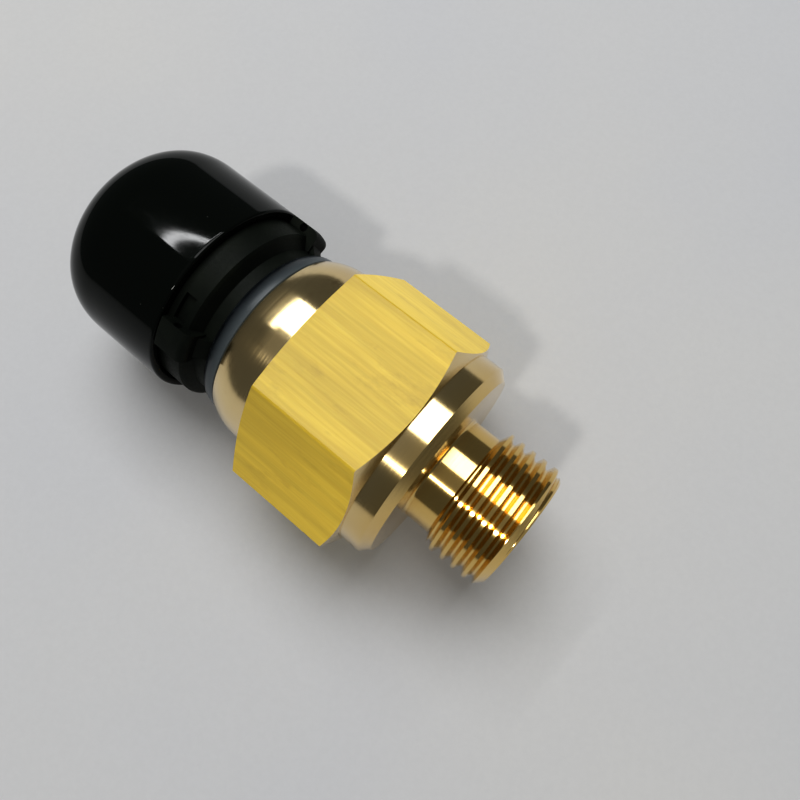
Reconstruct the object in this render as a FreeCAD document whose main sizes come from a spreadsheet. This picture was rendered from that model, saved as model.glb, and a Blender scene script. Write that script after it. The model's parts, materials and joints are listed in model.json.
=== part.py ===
import FreeCAD, Part
import math
import os
import Sketcher

# Screw-in diaphragm pressure switch with a four-pin bayonet connector under a pull-off dust cap.
#
# Frame, in millimetres: +X runs along the switch's axis from the seal face towards the dust cap,
# +Z is the normal of the upper hexagon flat, and the origin is on the axis in the plane of the
# seal face. The switch lies on its lower hexagon flat, so the bench is at Z = -hex_flats / 2.
# Names ending in _x are places along the axis. Angles are in degrees about +X, from +Y towards +Z.

SIZES = {
    # Threaded port, on the -X side of the seal face
    "port_tip_x": -11.65,
    "tip_chamfer": 1.0,
    "thread_radius": 8.0,
    "thread_start_x": -4.3,
    "thread_pitch": 1.5,
    "thread_root_radius": 7.2,
    "thread_root_flat": 0.12,
    "thread_mouth": 0.56,
    "thread_mouth_radius": 8.05,
    "thread_cut_x": -13.3,
    "thread_cut_length": 10.5,
    "relief_radius": 6.65,
    "relief_start_x": -3.6,
    "relief_fillet": 0.4,
    # Collar, hexagon and crimped wall of the brass body
    "collar_face_radius": 12.1,
    "collar_radius": 13.15,
    "collar_chamfer_x": 1.05,
    "hex_start_x": 3.6,
    "hex_end_x": 18.5,
    "hex_length": 14.9,
    "hex_flats": 27.0,
    "hex_corner_fillet": 0.3,
    "hex_cone_radius": 13.4,
    "hex_tip_radius": 15.6,
    "hex_front_cone_x": 4.7,
    "hex_back_cone_x": 18.05,
    "cone_clear_radius": 17.0,
    "wall_radius": 12.365,
    "wall_root_x": 18.9,
    "wall_root_radius": 12.15,
    "wall_arc_x": 20.6,
    "wall_arc": 7.964,
    "lip_x": 24.4,
    "lip_radius": 11.4,
    "lip_end_x": 24.62,
    "lip_end_radius": 11.18,
    "lip_inner_x": 24.45,
    "lip_inner_radius": 10.95,
    "lip_bend_x": 23.4,
    # Bores of the brass body
    "port_bore_radius": 2.5,
    "port_bore_chamfer": 0.4,
    "chamber_x": 2.0,
    "chamber_radius": 6.2,
    "seat_x": 4.0,
    "seat_ring_x": 2.55,
    "seat_ring_inner": 7.75,
    "seat_ring_outer": 9.25,
    "cavity_radius": 10.2,
    "shelf_x": 16.0,
    "socket_radius": 11.2,
    # Diaphragm stack
    "seat_seal_x": 3.28,
    "seat_seal_circle": 8.5,
    "seat_seal_section": 0.68,
    "disc_radius": 10.1,
    "diaphragm_top_x": 4.35,
    "fold_inner": 6.2,
    "fold_outer": 7.4,
    "fold_arc": 0.7,
    "fold_skin": 0.2,
    "fold_top_arc": 0.9,
    "backing_x": 4.38,
    "backing_top_x": 4.58,
    "backing_radius": 5.6,
    "guide_x": 4.38,
    "guide_step_x": 5.5,
    "guide_top_x": 9.0,
    "guide_relief_radius": 7.9,
    "guide_radius": 6.08,
    "guide_chamfer": 0.5,
    "piston_x": 4.6,
    "piston_top_x": 7.0,
    "piston_radius": 6.0,
    "piston_chamfer": 0.3,
    "boss_radius": 3.6,
    "boss_top_x": 8.4,
    "pusher_x": 5.8,
    "pusher_hole_radius": 1.95,
    "pusher_radius": 1.9,
    "pusher_top_x": 17.6,
    "pusher_tip_x": 17.1,
    "pusher_tip_radius": 1.4,
    # Calibration spring and its nut
    "spring_wire": 0.55,
    "spring_radius": 4.6,
    "spring_pitch": 1.48,
    "spring_length": 4.38,
    "spring_start_x": 7.56,
    "nut_x": 12.5,
    "nut_top_x": 15.5,
    "nut_radius": 10.15,
    "nut_chamfer": 0.4,
    "nut_hole_radius": 1.98,
    "spanner_hole_radius": 1.1,
    "spanner_circle": 7.0,
    "nut_height": 3.0,
    # Contacts
    "bridge_thickness": 0.4,
    "bridge_span": 8.4,
    "bridge_width": 3.2,
    "bridge_corner": 0.8,
    "rivet_circle": 3.0,
    "rivet_radius": 0.8,
    "bridge_top_x": 18.0,
    "bridge_rivet_x": 18.2,
    "fixed_rivet_x": 18.82,
    "strip_x": 19.1,
    "strip_thickness": 0.5,
    "strip_inner": 2.1,
    "strip_reach": 4.4,
    "strip_width": 3.2,
    "strip_corner": 0.6,
    "return_wire": 0.18,
    "return_radius": 1.6,
    "return_pitch": 0.9,
    "return_length": 4.5,
    "return_start_x": 18.2,
    "carrier_x": 22.0,
    "carrier_top_x": 24.0,
    "carrier_radius": 8.7,
    "carrier_chamfer": 0.3,
    "return_seat_x": 22.9,
    "return_seat_radius": 2.2,
    "potting_top_x": 25.4,
    # Terminal pins
    "pin_circle": 5.0,
    "pin_count": 4,
    "pin_radius": 1.25,
    "pin_hole_radius": 1.27,
    "pin_tail_radius": 0.95,
    "pin_tail_hole_radius": 1.0,
    "pin_shoulder_x": 19.62,
    "pin_taper_x": 41.1,
    "pin_tip_x": 42.4,
    "pin_tip_radius": 0.4,
    "pin_tip_arc": 1.9,
    "pin_hole_depth": 12.0,
    # Connector base
    "foot_radius": 11.1,
    "foot_chamfer": 0.3,
    "foot_x": 16.0,
    "foot_top_x": 22.0,
    "foot_seal_x": 18.3,
    "foot_seal_end_x": 19.7,
    "foot_seal_groove": 9.96,
    "foot_seal_circle": 10.575,
    "foot_seal_middle_x": 19.0,
    "foot_seal_section": 0.6,
    "base_cavity_radius": 8.75,
    "base_cavity_x": 25.5,
    "neck_radius": 10.3,
    "neck_end_x": 28.4,
    "flange_x": 29.35,
    "flange_radius": 11.8,
    "flange_step_x": 29.1,
    "flange_end_x": 33.2,
    "shroud_radius": 10.9,
    "shroud_end_x": 45.2,
    "shroud_chamfer": 0.5,
    "seal_land_x": 41.6,
    "seal_land_end_x": 43.0,
    "seal_land_radius": 10.5,
    "socket_floor_x": 34.0,
    "shroud_bore_radius": 9.2,
    "shroud_mouth_radius": 9.7,
    "shroud_mouth_x": 44.6,
    # Ears, ribs and pockets around the flange, and what the bayonet plug locks on
    "ear_count": 3,
    "ear_angle": 36.0,
    "ear_sweep": 17.0,
    "ear_x": 28.0,
    "ear_top_x": 32.1,
    "ear_radius": 13.0,
    "ear_corner_x": 29.0,
    "ear_corner_radius": 12.1,
    "ear_corner_arc": 1.0,
    "rib_angle": 37.5,
    "rib_sweep": 14.0,
    "rib_x": 26.9,
    "rib_root_radius": 10.0,
    "rib_radius": 11.4,
    "pocket_angle": 53.5,
    "pocket_sweep": 15.5,
    "pocket_x": 30.1,
    "pocket_end_x": 31.6,
    "pocket_floor_radius": 11.15,
    "pocket_clear_radius": 12.6,
    "eye_radius": 0.5,
    "eye_circle": 12.35,
    "eye_x": 30.2,
    "eye_length": 6.0,
    "lug_angle": 75.0,
    "lug_sweep": 15.0,
    "lug_x": 36.0,
    "lug_end_x": 38.4,
    "lug_radius": 11.7,
    "lug_chamfer": 0.35,
    "key_angle": 20.0,
    "key_sweep": 8.0,
    "key_radius": 8.5,
    "key_end_x": 44.0,
    # Sealing ring in the mouth of the crimp
    "gasket_x": 22.05,
    "gasket_inner_radius": 10.32,
    "gasket_radius": 11.15,
    "gasket_bend_x": 23.35,
    "gasket_waist_x": 24.45,
    "gasket_waist_radius": 10.88,
    "bead_x": 24.75,
    "bead_radius": 11.22,
    "bead_end_x": 26.9,
    "bead_arc": 2.3,
    # Dust cap
    "cap_rim_x": 32.35,
    "cap_radius": 13.03,
    "cap_bore_radius": 12.03,
    "cap_rim_round": 0.35,
    "cap_shoulder_x": 43.4,
    "cap_corner_arc": 7.0,
    "cap_bore_corner_arc": 6.0,
    "cap_crown_x": 50.16,
    "cap_crown_radius": 7.84,
    "cap_crown_arc": 30.3,
    "cap_bore_crown_x": 49.2,
    "cap_bore_crown_radius": 7.58,
    "cap_bore_crown_arc": 29.3,
    "cap_end_x": 51.19,
    "cap_bore_end_x": 50.2,
}

ALONG_X = FreeCAD.Rotation(FreeCAD.Vector(0, 1, 0), 90)

doc = FreeCAD.newDocument("pressure_switch")
sheet = doc.addObject("Spreadsheet::Sheet", "Sizes")
for row, (alias, number) in enumerate(SIZES.items(), start=1):
    sheet.set(f"A{row}", alias)
    sheet.set(f"B{row}", str(number))
    sheet.setAlias(f"B{row}", alias)
doc.recompute()

subparts = []


def worth(text):
    """The number that a sum of sizes comes to, such as 'port_tip_x + tip_chamfer'."""
    total = 0.0
    sign = 1.0
    for word in text.split():
        if word == "+":
            sign = 1.0
        elif word == "-":
            sign = -1.0
        else:
            total += sign * (SIZES[word] if word in SIZES else float(word))
    return total


def bound(text):
    """The same sum as an expression that reads the sheet."""
    return " ".join("Sizes." + word if word in SIZES else word for word in text.split())


def origin_item(body, role):
    """An origin plane or axis of a body, found by its role."""
    return [item for item in body.Origin.OriginFeatures if item.Role == role][0]


def new_body(name):
    """A PartDesign body that is one sub-part."""
    body = doc.addObject("PartDesign::Body", name)
    body.Label = name
    subparts.append(body)
    return body


def new_sketch(body, name, role):
    sketch = body.newObject("Sketcher::SketchObject", name)
    sketch.AttachmentSupport = [(origin_item(body, role), "")]
    sketch.MapMode = "FlatFace"
    return sketch


def add_size(sketch, constraint, text):
    """Add a constraint and bind it to the sheet."""
    place = sketch.addConstraint(constraint)
    sketch.setExpression(f"Constraints[{place}]", bound(text))


def add_side(sketch, start, end, corner):
    """Add the side that leads to a corner, and give its number and its first and last points."""
    if len(corner) == 2:
        number = sketch.addGeometry(Part.LineSegment(start, end), False)
        return number, 1, 2
    radius = worth(corner[2])
    turns_left = corner[3] == "left"
    chord = end - start
    sideways = FreeCAD.Vector(-chord.y, chord.x, 0).normalize()
    rise = math.sqrt(radius ** 2 - (chord.Length / 2) ** 2)
    centre = (start + end) * 0.5 + sideways * (rise if turns_left else -rise)
    first, last = (start, end) if turns_left else (end, start)
    begin = math.atan2(first.y - centre.y, first.x - centre.x)
    finish = math.atan2(last.y - centre.y, last.x - centre.x)
    if finish < begin:
        finish += 2 * math.pi
    circle = Part.Circle(centre, FreeCAD.Vector(0, 0, 1), radius)
    number = sketch.addGeometry(Part.ArcOfCircle(circle, begin, finish), False)
    add_size(sketch, Sketcher.Constraint("Radius", number, radius), corner[2])
    return (number, 1, 2) if turns_left else (number, 2, 1)


def add_outline(sketch, corners):
    """Close an outline. A corner is (x, radius), or (x, radius, arc, turn) after an arc."""
    spots = [FreeCAD.Vector(worth(corner[0]), worth(corner[1]), 0) for corner in corners]
    sides = [add_side(sketch, spots[k - 1], spots[k], corner) for k, corner in enumerate(corners)]
    for k, corner in enumerate(corners):
        number, _, tail = sides[k]
        after, head, _ = sides[(k + 1) % len(sides)]
        sketch.addConstraint(Sketcher.Constraint("Coincident", number, tail, after, head))
        for kind, text, axis in (("DistanceX", corner[0], -2), ("DistanceY", corner[1], -1)):
            if worth(text) == 0:
                sketch.addConstraint(Sketcher.Constraint("PointOnObject", number, tail, axis))
            else:
                place = Sketcher.Constraint(kind, -1, 1, number, tail, worth(text))
                add_size(sketch, place, text)


def turned(body, name, corners, start=None, sweep=None, cut=False):
    """Turn an outline about the X axis, all round or from one angle through another."""
    sketch = new_sketch(body, name + "_outline", "XY_Plane")
    if start:
        turn = FreeCAD.Rotation(FreeCAD.Vector(1, 0, 0), worth(start))
        sketch.AttachmentOffset = FreeCAD.Placement(FreeCAD.Vector(), turn)
        sketch.setExpression("AttachmentOffset.Rotation.Angle", bound(start))
    add_outline(sketch, corners)
    feature = body.newObject("PartDesign::Groove" if cut else "PartDesign::Revolution", name)
    feature.Profile = sketch
    feature.ReferenceAxis = (sketch, ["H_Axis"])
    if sweep:
        feature.setExpression("Angle", bound(sweep))
    else:
        feature.Angle = 360
    sketch.Visibility = False
    return feature


def ring(name, middle_x, circle, section):
    """A ring of round section about the X axis."""
    torus = doc.addObject("Part::Torus", name)
    torus.Label = name
    torus.setExpression("Radius1", bound(circle))
    torus.setExpression("Radius2", bound(section))
    torus.Placement = FreeCAD.Placement(FreeCAD.Vector(worth(middle_x), 0, 0), ALONG_X)
    torus.setExpression("Placement.Base.x", bound(middle_x))
    subparts.append(torus)


def spring(name, start_x, radius, pitch, length, wire):
    """An open coil spring about the X axis."""
    helix = doc.addObject("Part::Helix", name + "_line")
    helix.setExpression("Radius", bound(radius))
    helix.setExpression("Pitch", bound(pitch))
    helix.setExpression("Height", bound(length))
    helix.Placement = FreeCAD.Placement(FreeCAD.Vector(worth(start_x), 0, 0), ALONG_X)
    helix.setExpression("Placement.Base.x", bound(start_x))
    circle = doc.addObject("Part::Circle", name + "_wire")
    circle.setExpression("Radius", bound(wire))
    # The helix starts on the -Z side of the axis and sets off towards +Y
    across = FreeCAD.Rotation(FreeCAD.Vector(1, 0, 0), -90)
    circle.Placement = FreeCAD.Placement(
        FreeCAD.Vector(worth(start_x), 0, -worth(radius)), across
    )
    circle.setExpression("Placement.Base.x", bound(start_x))
    circle.setExpression("Placement.Base.z", "-" + bound(radius))
    sweep = doc.addObject("Part::Sweep", name)
    sweep.Label = name
    sweep.Sections = [circle]
    sweep.Spine = (helix, [])
    sweep.Solid = True
    sweep.Frenet = True
    subparts.append(sweep)


def drilled(body, name, x_start, depth, radius, circle, count):
    """Drill equal holes along +X, evenly spaced on a circle, the first at +Y."""
    hole = body.newObject("PartDesign::SubtractiveCylinder", name)
    hole.AttachmentSupport = [(origin_item(body, "YZ_Plane"), "")]
    hole.MapMode = "FlatFace"
    hole.setExpression("Radius", bound(radius))
    hole.setExpression("Height", bound(depth))
    hole.setExpression("AttachmentOffset.Base.x", bound(circle))
    hole.setExpression("AttachmentOffset.Base.z", bound(x_start))
    doc.recompute()
    spread(body, name + "_pattern", [hole], count)


def spread(body, name, features, count):
    """Repeat features evenly about the X axis."""
    pattern = body.newObject("PartDesign::PolarPattern", name)
    pattern.Originals = features
    pattern.Axis = (origin_item(body, "X_Axis"), [""])
    pattern.Angle = 360
    pattern.setExpression("Occurrences", bound(count))
    body.Tip = pattern


def brass_body():
    """Threaded port, seal collar, hexagon and the thin wall crimped over the connector base."""
    body = new_body("brass_body")
    hexagon = new_sketch(body, "hexagon_outline", "YZ_Plane")
    hexagon.setExpression("AttachmentOffset.Base.z", bound("hex_start_x"))
    reach = SIZES["hex_flats"] / math.sqrt(3)
    tips = []
    for k in range(6):
        turn = math.radians(60 * k)
        tips.append(FreeCAD.Vector(reach * math.cos(turn), reach * math.sin(turn), 0))
    for k in range(6):
        hexagon.addGeometry(Part.LineSegment(tips[k], tips[(k + 1) % 6]), False)
    round_all = Part.Circle(FreeCAD.Vector(), FreeCAD.Vector(0, 0, 1), reach)
    rim = hexagon.addGeometry(round_all, True)
    hexagon.addConstraint(Sketcher.Constraint("Coincident", rim, 3, -1, 1))
    for k in range(6):
        hexagon.addConstraint(Sketcher.Constraint("Coincident", k, 2, (k + 1) % 6, 1))
        hexagon.addConstraint(Sketcher.Constraint("PointOnObject", k, 1, rim))
    for k in range(1, 6):
        hexagon.addConstraint(Sketcher.Constraint("Equal", 0, k))
    hexagon.addConstraint(Sketcher.Constraint("PointOnObject", 0, 1, -1))
    place = hexagon.addConstraint(Sketcher.Constraint("Radius", rim, reach))
    hexagon.setExpression(f"Constraints[{place}]", "Sizes.hex_flats / sqrt(3)")
    pad = body.newObject("PartDesign::Pad", "hexagon")
    pad.Profile = hexagon
    pad.setExpression("Length", bound("hex_length"))
    doc.recompute()
    corners = []
    for number, edge in enumerate(pad.Shape.Edges, start=1):
        if abs(edge.Length - SIZES["hex_length"]) < 0.001:
            corners.append(f"Edge{number}")
    soft = body.newObject("PartDesign::Fillet", "hexagon_corners")
    soft.Base = (pad, corners)
    soft.setExpression("Radius", bound("hex_corner_fillet"))
    turned(body, "front_cone", [
        ("hex_start_x", "hex_cone_radius"),
        ("hex_front_cone_x", "hex_tip_radius"),
        ("hex_front_cone_x", "cone_clear_radius"),
        ("hex_start_x", "cone_clear_radius"),
    ], cut=True)
    turned(body, "back_cone", [
        ("hex_end_x", "hex_cone_radius"),
        ("hex_end_x", "cone_clear_radius"),
        ("hex_back_cone_x", "cone_clear_radius"),
        ("hex_back_cone_x", "hex_tip_radius"),
    ], cut=True)
    turned(body, "turned_shape", [
        ("port_tip_x", "0"),
        ("lip_end_x", "0"),
        ("lip_end_x", "lip_end_radius"),
        ("lip_x", "lip_radius"),
        ("wall_arc_x", "wall_radius", "wall_arc", "left"),
        ("wall_root_x", "wall_radius"),
        ("wall_root_x", "wall_root_radius"),
        ("hex_start_x", "wall_root_radius"),
        ("hex_start_x", "collar_radius"),
        ("collar_chamfer_x", "collar_radius"),
        ("0", "collar_face_radius"),
        ("0", "relief_radius + relief_fillet"),
        ("0 - relief_fillet", "relief_radius", "relief_fillet", "right"),
        ("relief_start_x", "relief_radius"),
        ("thread_start_x", "thread_radius"),
        ("port_tip_x + tip_chamfer", "thread_radius"),
        ("port_tip_x", "thread_radius - tip_chamfer"),
    ])
    turned(body, "bores", [
        ("port_tip_x", "0"),
        ("port_tip_x", "port_bore_radius + port_bore_chamfer"),
        ("port_tip_x + port_bore_chamfer", "port_bore_radius"),
        ("chamber_x", "port_bore_radius"),
        ("chamber_x", "chamber_radius"),
        ("seat_x", "chamber_radius"),
        ("seat_x", "cavity_radius"),
        ("shelf_x", "cavity_radius"),
        ("shelf_x", "socket_radius"),
        ("lip_bend_x", "socket_radius"),
        ("lip_inner_x", "lip_inner_radius"),
        ("lip_end_x", "lip_end_radius"),
        ("lip_end_x", "0"),
    ], cut=True)
    turned(body, "seal_groove", [
        ("seat_ring_x", "seat_ring_inner"),
        ("seat_ring_x", "seat_ring_outer"),
        ("seat_x", "seat_ring_outer"),
        ("seat_x", "seat_ring_inner"),
    ], cut=True)
    profile = new_sketch(body, "thread_outline", "XY_Plane")
    add_outline(profile, [
        ("thread_cut_x - thread_root_flat", "thread_root_radius"),
        ("thread_cut_x - thread_mouth", "thread_mouth_radius"),
        ("thread_cut_x + thread_mouth", "thread_mouth_radius"),
        ("thread_cut_x + thread_root_flat", "thread_root_radius"),
    ])
    thread = body.newObject("PartDesign::SubtractiveHelix", "thread")
    thread.Profile = profile
    thread.ReferenceAxis = (profile, ["H_Axis"])
    thread.Mode = 0
    thread.setExpression("Pitch", bound("thread_pitch"))
    thread.setExpression("Height", bound("thread_cut_length"))
    thread.Angle = 0
    thread.LeftHanded = False
    body.Tip = thread


def diaphragm_stack():
    """Seal, diaphragm, backing disc, guide ring, piston and the insulating pusher on it."""
    ring("chamber_o_ring", "seat_seal_x", "seat_seal_circle", "seat_seal_section")
    turned(new_body("diaphragm"), "skin", [
        ("seat_x", "0"),
        ("diaphragm_top_x", "0"),
        ("diaphragm_top_x", "fold_inner - fold_skin"),
        ("diaphragm_top_x", "fold_outer + fold_skin", "fold_top_arc", "left"),
        ("diaphragm_top_x", "disc_radius"),
        ("seat_x", "disc_radius"),
        ("seat_x", "fold_outer"),
        ("seat_x", "fold_inner", "fold_arc", "right"),
    ])
    turned(new_body("backing_disc"), "disc", [
        ("backing_x", "0"),
        ("backing_top_x", "0"),
        ("backing_top_x", "backing_radius"),
        ("backing_x", "backing_radius"),
    ])
    turned(new_body("guide_ring"), "guide", [
        ("guide_x", "guide_relief_radius"),
        ("guide_step_x", "guide_relief_radius"),
        ("guide_step_x", "guide_radius"),
        ("guide_top_x - guide_chamfer", "guide_radius"),
        ("guide_top_x", "guide_radius + guide_chamfer"),
        ("guide_top_x", "disc_radius - guide_chamfer"),
        ("guide_top_x - guide_chamfer", "disc_radius"),
        ("guide_x", "disc_radius"),
    ])
    turned(new_body("piston"), "head", [
        ("piston_x", "0"),
        ("pusher_x", "0"),
        ("pusher_x", "pusher_hole_radius"),
        ("boss_top_x", "pusher_hole_radius"),
        ("boss_top_x", "boss_radius - piston_chamfer"),
        ("boss_top_x - piston_chamfer", "boss_radius"),
        ("piston_top_x", "boss_radius"),
        ("piston_top_x", "piston_radius"),
        ("piston_x + piston_chamfer", "piston_radius"),
        ("piston_x", "piston_radius - piston_chamfer"),
    ])
    turned(new_body("insulating_pusher"), "rod", [
        ("pusher_x", "0"),
        ("pusher_top_x", "0"),
        ("pusher_top_x", "pusher_tip_radius"),
        ("pusher_tip_x", "pusher_radius"),
        ("pusher_x", "pusher_radius"),
    ])


def calibration():
    """The spring that sets the switching pressure, and the nut that loads it."""
    spring("calibration_spring", "spring_start_x", "spring_radius", "spring_pitch",
           "spring_length", "spring_wire")
    nut = new_body("calibration_nut")
    turned(nut, "disc", [
        ("nut_x", "nut_hole_radius"),
        ("nut_top_x", "nut_hole_radius"),
        ("nut_top_x", "nut_radius - nut_chamfer"),
        ("nut_top_x - nut_chamfer", "nut_radius"),
        ("nut_x + nut_chamfer", "nut_radius"),
        ("nut_x", "nut_radius - nut_chamfer"),
    ])
    drilled(nut, "spanner_hole", "nut_x", "nut_height", "spanner_hole_radius",
            "spanner_circle", "2")


def plate(body, name, x_start, thickness, low_y, span, width, corner):
    """A flat plate across the axis, centred on Z, with rounded corners."""
    block = body.newObject("PartDesign::AdditiveBox", name)
    block.setExpression("Length", bound(thickness))
    block.setExpression("Width", bound(span))
    block.setExpression("Height", bound(width))
    block.Placement = FreeCAD.Placement(
        FreeCAD.Vector(worth(x_start), low_y, -worth(width) / 2), FreeCAD.Rotation()
    )
    block.setExpression("Placement.Base.x", bound(x_start))
    block.setExpression("Placement.Base.z", "-" + bound(width) + " / 2")
    doc.recompute()
    edges = []
    for number, edge in enumerate(block.Shape.Edges, start=1):
        if abs(edge.Length - worth(thickness)) < 0.001:
            edges.append(f"Edge{number}")
    soft = body.newObject("PartDesign::Fillet", name + "_corners")
    soft.Base = (block, edges)
    soft.setExpression("Radius", bound(corner))


def rivets(name, face_x, root_x, bulge):
    """Two contact rivets, one on each side of the axis, crowned towards the mating pair."""
    heads = []
    for side in (1, -1):
        cylinder = doc.addObject("Part::Cylinder", name + ("_left" if side > 0 else "_right"))
        cylinder.setExpression("Radius", bound("rivet_radius"))
        cylinder.setExpression("Height", bound(root_x + " - " + face_x if bulge < 0 else
                                               face_x + " - " + root_x))
        low = face_x if bulge < 0 else root_x
        centre = FreeCAD.Vector(worth(low), side * SIZES["rivet_circle"], 0)
        cylinder.Placement = FreeCAD.Placement(centre, ALONG_X)
        cylinder.setExpression("Placement.Base.x", bound(low))
        cylinder.setExpression("Placement.Base.y", f"{side} * Sizes.rivet_circle")
        heads.append(cylinder)
    pair = doc.addObject("Part::Compound", name)
    pair.Label = name
    pair.Links = heads
    subparts.append(pair)


def contacts():
    """Moving bridge and its return spring, and the two fixed contact strips."""
    bridge = new_body("contact_bridge")
    plate(bridge, "bar", "pusher_top_x", "bridge_thickness", -SIZES["bridge_span"] / 2,
          "bridge_span", "bridge_width", "bridge_corner")
    rivets("bridge_rivets", "bridge_rivet_x", "bridge_top_x", 1)
    rivets("fixed_rivets", "fixed_rivet_x", "strip_x", -1)
    spring("bridge_spring", "return_start_x", "return_radius", "return_pitch",
           "return_length", "return_wire")
    for side, name in ((1, "fixed_contact_left"), (-1, "fixed_contact_right")):
        strip = new_body(name)
        low = SIZES["strip_inner"]
        if side < 0:
            low = -SIZES["strip_inner"] - SIZES["strip_reach"]
        plate(strip, "strip", "strip_x", "strip_thickness", low, "strip_reach",
              "strip_width", "strip_corner")
        hole = strip.newObject("PartDesign::SubtractiveCylinder", "pin_hole")
        hole.AttachmentSupport = [(origin_item(strip, "YZ_Plane"), "")]
        hole.MapMode = "FlatFace"
        hole.setExpression("Radius", bound("pin_tail_hole_radius"))
        hole.setExpression("Height", bound("strip_thickness"))
        hole.setExpression("AttachmentOffset.Base.x", f"{side} * Sizes.pin_circle")
        hole.setExpression("AttachmentOffset.Base.z", bound("strip_x"))


def pin_holders():
    """The moulded carrier that lines the pins up, and the resin poured behind it."""
    carrier = new_body("contact_carrier")
    turned(carrier, "disc", [
        ("carrier_x", "return_seat_radius"),
        ("return_seat_x", "return_seat_radius"),
        ("return_seat_x", "0"),
        ("carrier_top_x", "0"),
        ("carrier_top_x", "carrier_radius - carrier_chamfer"),
        ("carrier_top_x - carrier_chamfer", "carrier_radius"),
        ("carrier_x + carrier_chamfer", "carrier_radius"),
        ("carrier_x", "carrier_radius - carrier_chamfer"),
    ])
    drilled(carrier, "pin_hole", "carrier_x", "pin_hole_depth", "pin_hole_radius",
            "pin_circle", "pin_count")
    potting = new_body("potting_disc")
    turned(potting, "resin", [
        ("carrier_top_x", "0"),
        ("potting_top_x", "0"),
        ("potting_top_x", "carrier_radius"),
        ("carrier_top_x", "carrier_radius"),
    ])
    drilled(potting, "pin_hole", "carrier_top_x", "pin_hole_depth", "pin_hole_radius",
            "pin_circle", "pin_count")


def terminal_pins():
    """Four equal pins, from the contact chamber to their bullet tips in the connector."""
    for k in range(SIZES["pin_count"]):
        pin = new_body(f"terminal_pin_{k + 1}")
        turned(pin, "pin", [
            ("strip_x", "0"),
            ("pin_tip_x", "0"),
            ("pin_tip_x", "pin_tip_radius"),
            ("pin_taper_x", "pin_radius", "pin_tip_arc", "left"),
            ("pin_shoulder_x", "pin_radius"),
            ("pin_shoulder_x", "pin_tail_radius"),
            ("strip_x", "pin_tail_radius"),
        ])
        turn = f"(360 deg * {k} / Sizes.pin_count)"
        pin.setExpression("Placement.Base.y", f"Sizes.pin_circle * cos{turn}")
        pin.setExpression("Placement.Base.z", f"Sizes.pin_circle * sin{turn}")


def connector_base():
    """Moulded base: crimped foot, neck, eared flange and the pin shroud with bayonet lugs."""
    base = new_body("connector_base")
    turned(base, "moulding", [
        ("foot_x", "base_cavity_radius"),
        ("base_cavity_x", "base_cavity_radius"),
        ("base_cavity_x", "0"),
        ("socket_floor_x", "0"),
        ("socket_floor_x", "shroud_bore_radius"),
        ("shroud_mouth_x", "shroud_bore_radius"),
        ("shroud_end_x", "shroud_mouth_radius"),
        ("shroud_end_x", "shroud_radius - shroud_chamfer"),
        ("shroud_end_x - shroud_chamfer", "shroud_radius"),
        ("seal_land_end_x", "shroud_radius"),
        ("seal_land_end_x", "seal_land_radius"),
        ("seal_land_x", "seal_land_radius"),
        ("seal_land_x", "shroud_radius"),
        ("flange_end_x", "shroud_radius"),
        ("flange_end_x", "flange_radius"),
        ("flange_x", "flange_radius"),
        ("flange_step_x", "flange_radius - foot_chamfer"),
        ("neck_end_x", "neck_radius"),
        ("foot_top_x", "neck_radius"),
        ("foot_top_x", "foot_radius"),
        ("foot_seal_end_x", "foot_radius"),
        ("foot_seal_end_x", "foot_seal_groove"),
        ("foot_seal_x", "foot_seal_groove"),
        ("foot_seal_x", "foot_radius"),
        ("foot_x + foot_chamfer", "foot_radius"),
        ("foot_x", "foot_radius - foot_chamfer"),
    ])
    ear = turned(base, "ear", [
        ("ear_x", "rib_root_radius"),
        ("ear_top_x", "rib_root_radius"),
        ("ear_top_x", "ear_radius"),
        ("ear_corner_x", "ear_radius"),
        ("ear_x", "ear_corner_radius", "ear_corner_arc", "left"),
    ], "ear_angle", "ear_sweep")
    rib = turned(base, "rib", [
        ("rib_x", "rib_root_radius"),
        ("ear_corner_x", "rib_root_radius"),
        ("ear_corner_x", "rib_radius"),
        ("ear_x", "rib_radius"),
        ("rib_x", "neck_radius"),
    ], "rib_angle", "rib_sweep")
    pocket = turned(base, "pocket", [
        ("pocket_x", "pocket_floor_radius"),
        ("pocket_end_x", "pocket_floor_radius"),
        ("pocket_end_x", "pocket_clear_radius"),
        ("pocket_x", "pocket_clear_radius"),
    ], "pocket_angle", "pocket_sweep", cut=True)
    eye = base.newObject("PartDesign::SubtractiveCylinder", "eye")
    middle = SIZES["ear_angle"] + SIZES["ear_sweep"] / 2
    outward = FreeCAD.Rotation(FreeCAD.Vector(1, 0, 0), middle)
    centre = outward.multVec(
        FreeCAD.Vector(SIZES["eye_x"], SIZES["eye_circle"], -SIZES["eye_length"] / 2)
    )
    eye.setExpression("Radius", bound("eye_radius"))
    eye.setExpression("Height", bound("eye_length"))
    eye.Placement = FreeCAD.Placement(centre, outward)
    lug = turned(base, "lug", [
        ("lug_x", "shroud_radius - lug_chamfer"),
        ("lug_end_x", "shroud_radius - lug_chamfer"),
        ("lug_end_x", "lug_radius - lug_chamfer"),
        ("lug_end_x - lug_chamfer", "lug_radius"),
        ("lug_x", "lug_radius"),
    ], "lug_angle", "lug_sweep")
    key = turned(base, "key", [
        ("socket_floor_x", "key_radius"),
        ("key_end_x", "key_radius"),
        ("key_end_x", "shroud_radius - shroud_chamfer"),
        ("socket_floor_x", "shroud_radius - shroud_chamfer"),
    ], "key_angle", "key_sweep")
    doc.recompute()
    spread(base, "round_the_flange", [ear, rib, pocket, eye, lug, key], "ear_count")
    drilled(base, "pin_hole", "base_cavity_x", "pin_hole_depth", "pin_hole_radius",
            "pin_circle", "pin_count")


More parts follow.
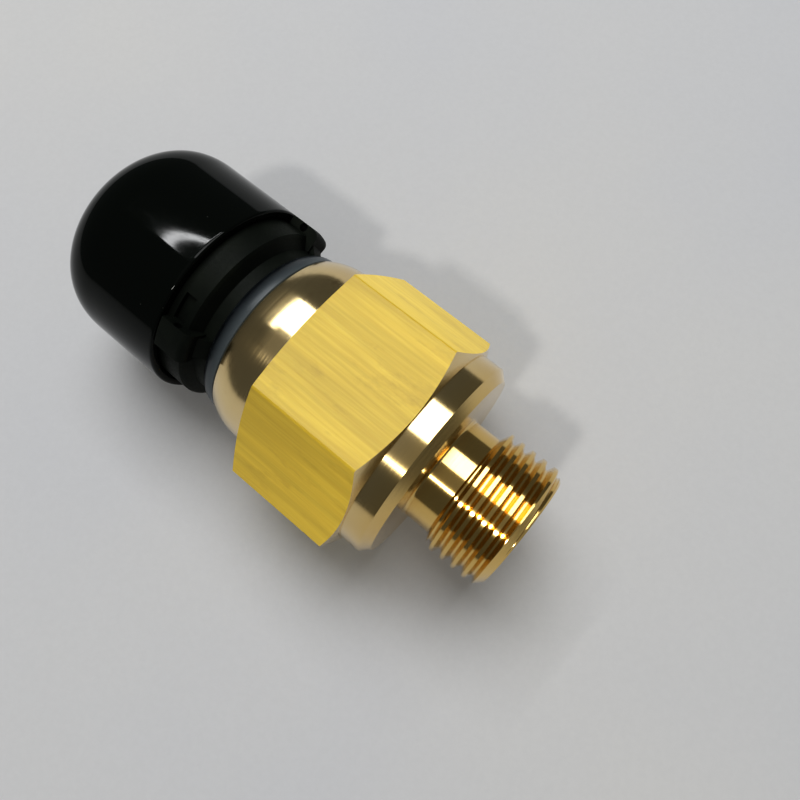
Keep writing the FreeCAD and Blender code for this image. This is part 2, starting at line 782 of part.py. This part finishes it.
def seals():
    """O-ring on the foot and the soft ring in the mouth of the crimp."""
    ring("foot_o_ring", "foot_seal_middle_x", "foot_seal_circle", "foot_seal_section")
    turned(new_body("crimp_gasket"), "seal", [
        ("gasket_x", "gasket_inner_radius"),
        ("bead_end_x", "gasket_inner_radius"),
        ("bead_x", "bead_radius", "bead_arc", "left"),
        ("gasket_waist_x", "gasket_waist_radius"),
        ("gasket_bend_x", "gasket_radius"),
        ("gasket_x", "gasket_radius"),
    ])


def protective_cap():
    """Soft dust cap pushed over the connector."""
    turned(new_body("protective_cap"), "shell", [
        ("cap_rim_x", "cap_bore_radius"),
        ("cap_shoulder_x", "cap_bore_radius"),
        ("cap_bore_crown_x", "cap_bore_crown_radius", "cap_bore_corner_arc", "right"),
        ("cap_bore_end_x", "0", "cap_bore_crown_arc", "right"),
        ("cap_end_x", "0"),
        ("cap_crown_x", "cap_crown_radius", "cap_crown_arc", "left"),
        ("cap_shoulder_x", "cap_radius", "cap_corner_arc", "left"),
        ("cap_rim_x + cap_rim_round", "cap_radius"),
        ("cap_rim_x", "cap_radius - cap_rim_round", "cap_rim_round", "left"),
    ])


brass_body()
diaphragm_stack()
calibration()
contacts()
pin_holders()
terminal_pins()
connector_base()
seals()
protective_cap()
doc.recompute()

for item in doc.Objects:
    if "Invalid" in item.State or "Error" in item.State:
        raise RuntimeError(f"{item.Name} failed: {item.State}")
os.makedirs("parts", exist_ok=True)
for part in subparts:
    shape = part.Shape
    if shape.isNull() or not shape.isValid():
        raise RuntimeError(f"{part.Label} has no valid shape")
    shape.exportStep(f"parts/{part.Label}.step")
    box = shape.BoundBox
    print(f"{part.Label:22s} solids {len(shape.Solids)} volume {shape.Volume:9.2f} mm3"
          f"  X {box.XMin:7.2f} {box.XMax:7.2f}  Y {box.YMin:7.2f} {box.YMax:7.2f}"
          f"  Z {box.ZMin:7.2f} {box.ZMax:7.2f}")
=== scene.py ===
"""The looks of a pressure switch that lies on its hexagon on a pale paper floor.

The frame is the CAD frame, in metres: +X runs along the switch from its threaded port to its dust
cap, +Z is up, and the origin is on the axis in the plane of the seal face.
"""

import json
import math

import bpy
from mathutils import Matrix, Vector


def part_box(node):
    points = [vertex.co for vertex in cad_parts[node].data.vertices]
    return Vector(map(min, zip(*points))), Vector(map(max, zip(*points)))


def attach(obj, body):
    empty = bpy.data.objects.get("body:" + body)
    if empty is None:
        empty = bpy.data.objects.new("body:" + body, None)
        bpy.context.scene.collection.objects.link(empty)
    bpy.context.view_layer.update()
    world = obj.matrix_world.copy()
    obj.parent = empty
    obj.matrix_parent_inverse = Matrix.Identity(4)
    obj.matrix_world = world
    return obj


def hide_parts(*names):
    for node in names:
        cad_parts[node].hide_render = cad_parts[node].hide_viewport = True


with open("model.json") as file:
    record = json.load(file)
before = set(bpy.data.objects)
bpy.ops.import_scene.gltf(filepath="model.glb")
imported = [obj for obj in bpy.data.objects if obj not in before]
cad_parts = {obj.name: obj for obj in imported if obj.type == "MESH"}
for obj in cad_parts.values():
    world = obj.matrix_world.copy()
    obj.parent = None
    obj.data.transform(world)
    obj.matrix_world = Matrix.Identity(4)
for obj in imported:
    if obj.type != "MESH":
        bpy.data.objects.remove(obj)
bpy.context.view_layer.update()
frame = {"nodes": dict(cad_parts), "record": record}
nodes = frame["nodes"]

MM = 0.001
FLOOR_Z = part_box("brass_body")[0].z

# Where the hexagon's flats are: along the axis, and out beyond the turned cones at its ends.
FLATS_START_X = 3.62 * MM
FLATS_END_X = 18.6 * MM
FLATS_CLEAR_RADIUS = 12.7 * MM
FLATS_MOST_LEAN = 0.15

# The turned brass goes from a deep yellow port to a paler wall between these two places.
# The paler, less yellow wall is a painted reflection of the pale bluish light the dome reflects.
DEEP_BRASS_X = -1.0 * MM
PAINTED_PALE_REFLECTION_X = 4.0 * MM


# ---------------------------------------------------------------- shader helpers

class Shader:
    """A node material that is built up one node at a time."""

    def __init__(self, name):
        self.material = bpy.data.materials.new(name)
        self.material.use_nodes = True
        self.tree = self.material.node_tree
        self.surface = self.tree.nodes["Principled BSDF"]
        self.place = self.add("ShaderNodeTexCoord").outputs["Object"]
        split = self.add("ShaderNodeSeparateXYZ", {0: self.place})
        self.x, self.y, self.z = split.outputs[:3]

    def add(self, kind, inputs=None, **settings):
        node = self.tree.nodes.new(kind)
        for key, value in settings.items():
            setattr(node, key, value)
        for key, value in (inputs or {}).items():
            if isinstance(value, bpy.types.NodeSocket):
                self.tree.links.new(value, node.inputs[key])
            else:
                node.inputs[key].default_value = value
        return node

    def math(self, operation, *values, clamp=False):
        inputs = dict(enumerate(values))
        return self.add("ShaderNodeMath", inputs, operation=operation, use_clamp=clamp).outputs[0]

    def radius(self):
        """Distance from the switch's axis."""
        across = self.math("MULTIPLY", self.y, self.y)
        up = self.math("MULTIPLY", self.z, self.z)
        return self.math("SQRT", self.math("ADD", across, up))

    def between(self, value, low, high):
        """1 where low < value < high, else 0."""
        above = self.math("GREATER_THAN", value, low)
        below = self.math("LESS_THAN", value, high)
        return self.math("MULTIPLY", above, below)

    def stretch(self, x, y, z):
        """The place with its axes scaled, for grain that runs one way."""
        return self.add("ShaderNodeVectorMath", {0: self.place, 1: (x, y, z)},
                        operation="MULTIPLY").outputs[0]

    def noise(self, vector, scale, detail=2.0, roughness=0.5):
        inputs = {"Vector": vector, "Scale": scale, "Detail": detail, "Roughness": roughness}
        return self.add("ShaderNodeTexNoise", inputs).outputs[0]

    def lines(self, value, scale, detail=2.0):
        """Noise along one number, which makes parallel lines."""
        inputs = {"W": value, "Scale": scale, "Detail": detail}
        return self.add("ShaderNodeTexNoise", inputs, noise_dimensions="1D").outputs[0]

    def remap(self, value, low, high, to_low=0.0, to_high=1.0):
        """Spread low..high over to_low..to_high, clamped."""
        inputs = {0: value, 1: low, 2: high, 3: to_low, 4: to_high}
        return self.add("ShaderNodeMapRange", inputs).outputs[0]

    def mix(self, factor, first, second):
        """Blend two colours."""
        inputs = {0: factor, 6: rgba(first), 7: rgba(second)}
        return self.add("ShaderNodeMix", inputs, data_type="RGBA").outputs[2]

    def blend(self, factor, first, second):
        """Blend two numbers."""
        inputs = {0: factor, 2: first, 3: second}
        return self.add("ShaderNodeMix", inputs, data_type="FLOAT").outputs[0]

    def bump(self, height, strength, distance):
        inputs = {"Height": height, "Strength": strength, "Distance": distance}
        return self.add("ShaderNodeBump", inputs).outputs[0]

    def set(self, **sockets):
        """Set the surface's sockets, with spaces in their names written as underscores."""
        for key, value in sockets.items():
            socket = self.surface.inputs[key.replace("_", " ")]
            if isinstance(value, bpy.types.NodeSocket):
                self.tree.links.new(value, socket)
            elif socket.type == "RGBA":
                socket.default_value = rgba(value)
            else:
                socket.default_value = value
        return self.material


def rgba(colour):
    return (*colour, 1.0) if isinstance(colour, tuple) and len(colour) == 3 else colour


# ---------------------------------------------------------------- materials

def turned_brass():
    """Brass bar: drawn grain on the hexagon's flats, fine turning lines everywhere else."""
    brass = Shader("turned_brass")
    radius = brass.radius()
    normal = brass.add("ShaderNodeNewGeometry").outputs["Normal"]
    lean = brass.add("ShaderNodeSeparateXYZ", {0: normal}).outputs[0]
    upright = brass.math("LESS_THAN", brass.math("ABSOLUTE", lean), FLATS_MOST_LEAN)
    on_hexagon = brass.math("MULTIPLY", brass.between(brass.x, FLATS_START_X, FLATS_END_X),
                            brass.math("GREATER_THAN", radius, FLATS_CLEAR_RADIUS))
    flat = brass.math("MULTIPLY", on_hexagon, upright)

    grain = brass.noise(brass.stretch(90, 3200, 3200), 1.0, 4.0, 0.6)
    bands = brass.noise(brass.stretch(45, 700, 700), 1.0, 3.0, 0.55)
    smudge = brass.noise(brass.stretch(160, 420, 420), 1.0, 5.0, 0.65)
    cloud = brass.noise(brass.place, 90, 3.0)
    drawn = brass.mix(brass.remap(bands, 0.35, 0.65), (0.79, 0.615, 0.098), (0.69, 0.53, 0.085))
    drawn = brass.mix(brass.remap(grain, 0.35, 0.75, 0.0, 0.22), drawn, (0.60, 0.40, 0.06))
    drawn = brass.mix(brass.remap(smudge, 0.55, 0.80, 0.0, 0.45), drawn, (0.45, 0.29, 0.05))

    turning = brass.lines(brass.math("ADD", brass.x, radius), 5200, 3.0)
    pale = brass.mix(brass.remap(cloud, 0.35, 0.7), (0.84, 0.68, 0.38), (0.76, 0.59, 0.31))
    deep = brass.mix(brass.remap(cloud, 0.35, 0.7), (0.80, 0.58, 0.22), (0.70, 0.49, 0.17))
    # Painted reflection: beyond the collar the brass is made paler and less yellow to stand in for
    # the pale bluish light it reflects.
    polished = brass.mix(brass.remap(brass.x, DEEP_BRASS_X, PAINTED_PALE_REFLECTION_X), deep, pale)
    spots = brass.noise(brass.place, 420, 5.0, 0.7)
    polished = brass.mix(brass.remap(spots, 0.62, 0.8, 0.0, 0.5), polished, (0.38, 0.22, 0.08))

    rough_flat = brass.remap(grain, 0.3, 0.7, 0.62, 0.78)
    rough_turned = brass.remap(turning, 0.3, 0.7, 0.15, 0.21)
    fine = brass.bump(turning, 0.06, 0.02 * MM)
    drawn_bump = brass.bump(grain, 0.12, 0.03 * MM)
    both = brass.add("ShaderNodeMix", {0: flat, 4: fine, 5: drawn_bump}, data_type="VECTOR")
    around = brass.add("ShaderNodeCombineXYZ", {1: brass.math("MULTIPLY", brass.z, -1.0),
                                                2: brass.y}).outputs[0]
    across = brass.add("ShaderNodeVectorMath", {0: around, 1: normal},
                       operation="CROSS_PRODUCT").outputs[0]
    spread = brass.add("ShaderNodeMix", {0: flat, 4: across, 5: around}, data_type="VECTOR")
    spread = brass.add("ShaderNodeVectorMath", {0: spread.outputs[1]},
                       operation="NORMALIZE").outputs[0]
    return brass.set(Anisotropic=0.85, Tangent=spread, Coat_Weight=0.55, Coat_Roughness=0.11,
                     Base_Color=brass.mix(flat, polished, drawn), Metallic=1.0,
                     Roughness=brass.blend(flat, rough_turned, rough_flat),
                     Normal=both.outputs[1])


def black_nylon():
    """Glass-filled nylon moulding: green-black, with a fine grain and paler rubbed spots."""
    nylon = Shader("black_nylon")
    grain = nylon.noise(nylon.place, 5200, 4.0, 0.65)
    cloud = nylon.noise(nylon.place, 260, 4.0)
    colour = nylon.mix(nylon.remap(cloud, 0.35, 0.7), (0.009, 0.012, 0.009), (0.017, 0.021, 0.015))
    return nylon.set(Base_Color=colour, Roughness=nylon.remap(grain, 0.3, 0.7, 0.42, 0.62), IOR=1.25,
                     Normal=nylon.bump(grain, 0.25, 0.03 * MM))


def black_vinyl():
    """Dip-moulded vinyl: wet black gloss with fine scuffs and a little dust."""
    vinyl = Shader("black_vinyl")
    scuff = vinyl.noise(vinyl.stretch(900, 2600, 2600), 1.0, 6.0, 0.7)
    dust = vinyl.noise(vinyl.place, 2600, 1.0)
    specks = vinyl.remap(dust, 0.80, 0.84)
    colour = vinyl.mix(specks, (0.0065, 0.0085, 0.0068), (0.09, 0.09, 0.08))
    rough = vinyl.blend(specks, vinyl.remap(scuff, 0.5, 0.8, 0.05, 0.10), 0.5)
    return vinyl.set(Base_Color=colour, Roughness=rough, IOR=1.28)


def milky_silicone():
    """Milky sealing ring, with painted shading: pale bluish where it is lit next to the brass lip,
    painted shade darkening it towards the black base.
    """
    ring = Shader("milky_silicone")
    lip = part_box("crimp_gasket")[1].x
    # Painted shading: colour alone makes the ring pale bluish by the lip and dark where shade falls
    # towards the base.
    painted_shade_to_base = ring.remap(ring.x, lip - 2.9 * MM, lip - 0.5 * MM)
    cloud = ring.noise(ring.place, 300, 2.0)
    colour = ring.mix(painted_shade_to_base, (0.165, 0.190, 0.200), (0.008, 0.010, 0.012))
    colour = ring.mix(ring.remap(cloud, 0.3, 0.7, 0.0, 0.25), colour, (0.05, 0.06, 0.07))
    return ring.set(Base_Color=colour, Roughness=0.32, IOR=1.4, Subsurface_Weight=0.3,
                    Subsurface_Radius=(0.8, 0.9, 1.0), Subsurface_Scale=0.6 * MM)


def plain(name, first, second, metallic, low, high):
    """A fine mottled surface, from one colour and roughness to the other."""
    shader = Shader(name)
    cloud = shader.noise(shader.place, 900, 4.0, 0.6)
    lines = shader.lines(shader.math("ADD", shader.x, shader.radius()), 6000, 2.0)
    return shader.set(Base_Color=shader.mix(shader.remap(cloud, 0.3, 0.7), first, second),
                      Metallic=metallic, Roughness=shader.remap(cloud, 0.3, 0.7, low, high),
                      Normal=shader.bump(lines, 0.05, 0.02 * MM))


def paper():
    """Smooth pale paper with a faint fibre."""
    sheet = Shader("pale_paper")
    fibre = sheet.noise(sheet.place, 1300, 5.0, 0.6)
    cloud = sheet.noise(sheet.place, 14, 3.0)
    colour = sheet.mix(sheet.remap(cloud, 0.3, 0.7), (0.650, 0.656, 0.672), (0.685, 0.682, 0.672))
    colour = sheet.mix(sheet.remap(fibre, 0.35, 0.65, 0.0, 0.06), colour, (0.45, 0.45, 0.45))
    return sheet.set(Base_Color=colour, Roughness=0.9, Normal=sheet.bump(fibre, 0.12, 0.1 * MM))


MATERIALS = {
    "turned_brass": turned_brass(),
    "black_nylon": black_nylon(),
    "black_vinyl": black_vinyl(),
    "milky_silicone": milky_silicone(),
    "seal_rubber": plain("seal_rubber", (0.012, 0.012, 0.012), (0.022, 0.022, 0.021), 0.0, 0.4, 0.6),
    "diaphragm_film": plain("diaphragm_film", (0.60, 0.32, 0.07), (0.48, 0.24, 0.05), 0.0, 0.2, 0.35),
    "spring_steel": plain("spring_steel", (0.58, 0.58, 0.60), (0.45, 0.45, 0.47), 1.0, 0.2, 0.35),
    "white_nylon": plain("white_nylon", (0.72, 0.71, 0.66), (0.62, 0.61, 0.56), 0.0, 0.35, 0.5),
    "contact_copper": plain("contact_copper", (0.80, 0.46, 0.28), (0.66, 0.36, 0.20), 1.0, 0.2, 0.4),
    "contact_silver": plain("contact_silver", (0.90, 0.89, 0.86), (0.78, 0.77, 0.74), 1.0, 0.15, 0.3),
    "tinned_pin": plain("tinned_pin", (0.74, 0.73, 0.71), (0.62, 0.61, 0.60), 1.0, 0.22, 0.36),
    "potting_resin": plain("potting_resin", (0.02, 0.02, 0.022), (0.03, 0.03, 0.03), 0.0, 0.1, 0.2),
}

for entry in frame["record"]["subparts"]:
    shown = nodes[entry["node"]]
    shown.data.materials.clear()
    shown.data.materials.append(MATERIALS[entry["material_slot"]])


# ---------------------------------------------------------------- dust cap

CAP_LOW, CAP_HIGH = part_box("protective_cap")
CAP_RADIUS = CAP_HIGH.y
CAP_WALL = 1.0 * MM
CAP_RIM_ROUND = 0.30 * MM
CAP_DOME_LENGTH = 8.44 * MM
CAP_SHOULDER_X = CAP_HIGH.x - CAP_DOME_LENGTH
CAP_SQUARENESS = 2.5
CAP_AROUND = 224

# Rings of points along each stretch of the cap's outline.
OUTER_DOME_RINGS = 44
OUTER_WALL_RINGS = 46
RIM_RINGS = 7
INNER_WALL_RINGS = 24
INNER_DOME_RINGS = 30

# The soft wall is out of round by a few hundredths, fading out over the end of the dome.
GIVE_OVAL = 0.03 * MM
GIVE_THREE_LOBED = 0.015 * MM
GIVE_INWARD = 0.045 * MM
GIVE_TWIST = 190
GIVE_FADE_LENGTH = 9 * MM
GIVE_FADE_RADIUS = 8 * MM
POLE_RADIUS = 1e-7


def cap_dome(shoulder_x, end_x, radius, count):
    """Points of the rounded end, from the pole to the shoulder."""
    power = 2 / CAP_SQUARENESS
    points = []
    for k in range(count):
        turn = math.pi / 2 * (1 - k / count)
        points.append((shoulder_x + (end_x - shoulder_x) * math.sin(turn) ** power,
                       radius * math.cos(turn) ** power))
    return points


def straight(first, last, count):
    """Evenly spaced points from one (x, radius) to another, without the last one."""
    return [(first[0] + (last[0] - first[0]) * k / count,
             first[1] + (last[1] - first[1]) * k / count) for k in range(count)]


def rim_round(centre_x, centre_r, start, end, count):
    """Points on a quarter circle of the rim."""
    points = []
    for k in range(count):
        turn = math.radians(start + (end - start) * k / count)
        points.append((centre_x + CAP_RIM_ROUND * math.cos(turn),
                       centre_r + CAP_RIM_ROUND * math.sin(turn)))
    return points


def cap_profile():
    """The wall's outline from the outer pole, over the rim, to the inner pole."""
    rim = CAP_LOW.x
    bore = CAP_RADIUS - CAP_WALL
    outer = cap_dome(CAP_SHOULDER_X, CAP_HIGH.x, CAP_RADIUS, OUTER_DOME_RINGS)
    inner = cap_dome(CAP_SHOULDER_X, CAP_HIGH.x - CAP_WALL, bore, INNER_DOME_RINGS)
    turn_x = rim + CAP_RIM_ROUND
    points = outer
    points += straight((CAP_SHOULDER_X, CAP_RADIUS), (turn_x, CAP_RADIUS), OUTER_WALL_RINGS)
    points += rim_round(turn_x, CAP_RADIUS - CAP_RIM_ROUND, 90, 180, RIM_RINGS)
    points += rim_round(turn_x, bore + CAP_RIM_ROUND, 180, 270, RIM_RINGS)
    points += straight((turn_x, bore), (CAP_SHOULDER_X, bore), INNER_WALL_RINGS)
    points.append((CAP_SHOULDER_X, bore))
    return points + inner[::-1]


def cap_give(x, turn):
    """How far the soft wall stands off its round shape at one place."""
    oval = GIVE_OVAL * math.sin(2 * turn + 0.7)
    three_lobed = GIVE_THREE_LOBED * math.sin(3 * turn + GIVE_TWIST * x)
    reach = min(1.0, max(0.0, (CAP_HIGH.x - x) / GIVE_FADE_LENGTH))
    return (oval + three_lobed - GIVE_INWARD) * reach


def cap_mesh():
    profile = cap_profile()
    vertices = []
    rings = []
    for x, radius in profile:
        if radius < POLE_RADIUS:
            rings.append([len(vertices)])
            vertices.append((x, 0.0, 0.0))
            continue
        ring = []
        for k in range(CAP_AROUND):
            turn = 2 * math.pi * k / CAP_AROUND
            far = radius + cap_give(x, turn) * min(1.0, radius / GIVE_FADE_RADIUS)
            ring.append(len(vertices))
            vertices.append((x, far * math.cos(turn), far * math.sin(turn)))
        rings.append(ring)
    faces = []
    for first, second in zip(rings, rings[1:]):
        for k in range(CAP_AROUND):
            after = (k + 1) % CAP_AROUND
            if len(first) == 1:
                faces.append((first[0], second[after], second[k]))
            elif len(second) == 1:
                faces.append((first[k], first[after], second[0]))
            else:
                faces.append((first[k], first[after], second[after], second[k]))
    mesh = bpy.data.meshes.new("dust_cap")
    mesh.from_pydata(vertices, [], faces)
    mesh.validate()
    mesh.shade_smooth()
    return mesh


dust_cap = bpy.data.objects.new("dust_cap", cap_mesh())
bpy.context.scene.collection.objects.link(dust_cap)
dust_cap.data.materials.append(MATERIALS["black_vinyl"])
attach(dust_cap, "cap")
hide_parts("protective_cap")


# ---------------------------------------------------------------- floor, light and camera

FLOOR_REACH = 6.0
LAMP_HEIGHT = 0.80
DAYLIGHT = (0.985, 0.99, 1.0)
LAMPLIGHT = (1.0, 0.97, 0.92)
ROOM_BRIGHTNESS = 0.10


def make_floor():
    """A wide sheet of pale paper under the flat that the switch lies on."""
    mesh = bpy.data.meshes.new("floor")
    signs = [(-1, -1), (1, -1), (1, 1), (-1, 1)]
    corners = [(x * FLOOR_REACH, y * FLOOR_REACH, FLOOR_Z) for x, y in signs]
    mesh.from_pydata(corners, [], [(0, 1, 2, 3)])
    mesh.materials.append(paper())
    floor = bpy.data.objects.new("floor", mesh)
    bpy.context.scene.collection.objects.link(floor)


def panel(name, start, end, width, radiance, colour):
    """A flat soft light facing down, from start to end, by how bright it looks."""
    run = Vector(end) - Vector(start)
    centre = (Vector(start) + Vector(end)) / 2
    lamp = bpy.data.lights.new(name, "AREA")
    lamp.shape = "RECTANGLE"
    lamp.size = run.length
    lamp.size_y = width
    lamp.color = colour
    lamp.energy = radiance * math.pi * run.length * width
    holder = bpy.data.objects.new(name, lamp)
    holder.location = (centre.x, centre.y, LAMP_HEIGHT)
    holder.rotation_euler = (0.0, 0.0, math.atan2(run.y, run.x))
    bpy.context.scene.collection.objects.link(holder)


def make_lights():
    """A large window over the -Y side, a tube at the cap's end, a small lamp and a dim fill."""
    panel("window", (-0.06, -0.30), (0.46, -0.30), 0.60, 3.5, DAYLIGHT)
    panel("tube", (0.565, 0.08), (0.545, -0.62), 0.020, 26.0, DAYLIGHT)
    panel("small_lamp", (-0.08, 0.56), (0.02, 0.56), 0.08, 62.0, LAMPLIGHT)
    panel("fill", (-0.10, 0.27), (0.50, 0.27), 0.50, 0.12, LAMPLIGHT)


def make_world():
    """A plain dim room."""
    world = bpy.data.worlds.new("room")
    world.use_nodes = True
    background = world.node_tree.nodes["Background"]
    background.inputs["Color"].default_value = (0.95, 0.98, 1.0, 1.0)
    background.inputs["Strength"].default_value = ROOM_BRIGHTNESS
    bpy.context.scene.world = world


CAMERA_PLACE = Vector((-6.6, 12.7, 75.7)) * MM
CAMERA_HEADING = math.radians(-46.4)
CAMERA_TILT = math.radians(16.2)
CAMERA_ROLL = math.radians(-4.1)


def make_camera():
    """A phone held close above the switch, about 16 degrees off the vertical."""
    camera = bpy.data.cameras.new("camera")
    camera.sensor_width = 36.0
    camera.lens = 30.0
    camera.clip_start = 0.004
    holder = bpy.data.objects.new("camera", camera)
    heading = Matrix.Rotation(CAMERA_HEADING - math.pi / 2, 4, "Z")
    tilt = Matrix.Rotation(CAMERA_TILT, 4, "X")
    roll = Matrix.Rotation(CAMERA_ROLL, 4, "Z")
    holder.matrix_world = Matrix.Translation(CAMERA_PLACE) @ heading @ tilt @ roll
    bpy.context.scene.collection.objects.link(holder)
    bpy.context.scene.camera = holder


def set_tone():
    """A phone's contrast, by one of Blender's own named looks."""
    view = bpy.context.scene.view_settings
    view.view_transform = "Standard"
    view.look = "High Contrast"


set_tone()
make_floor()
make_lights()
make_world()
make_camera()

bpy.context.view_layer.update()
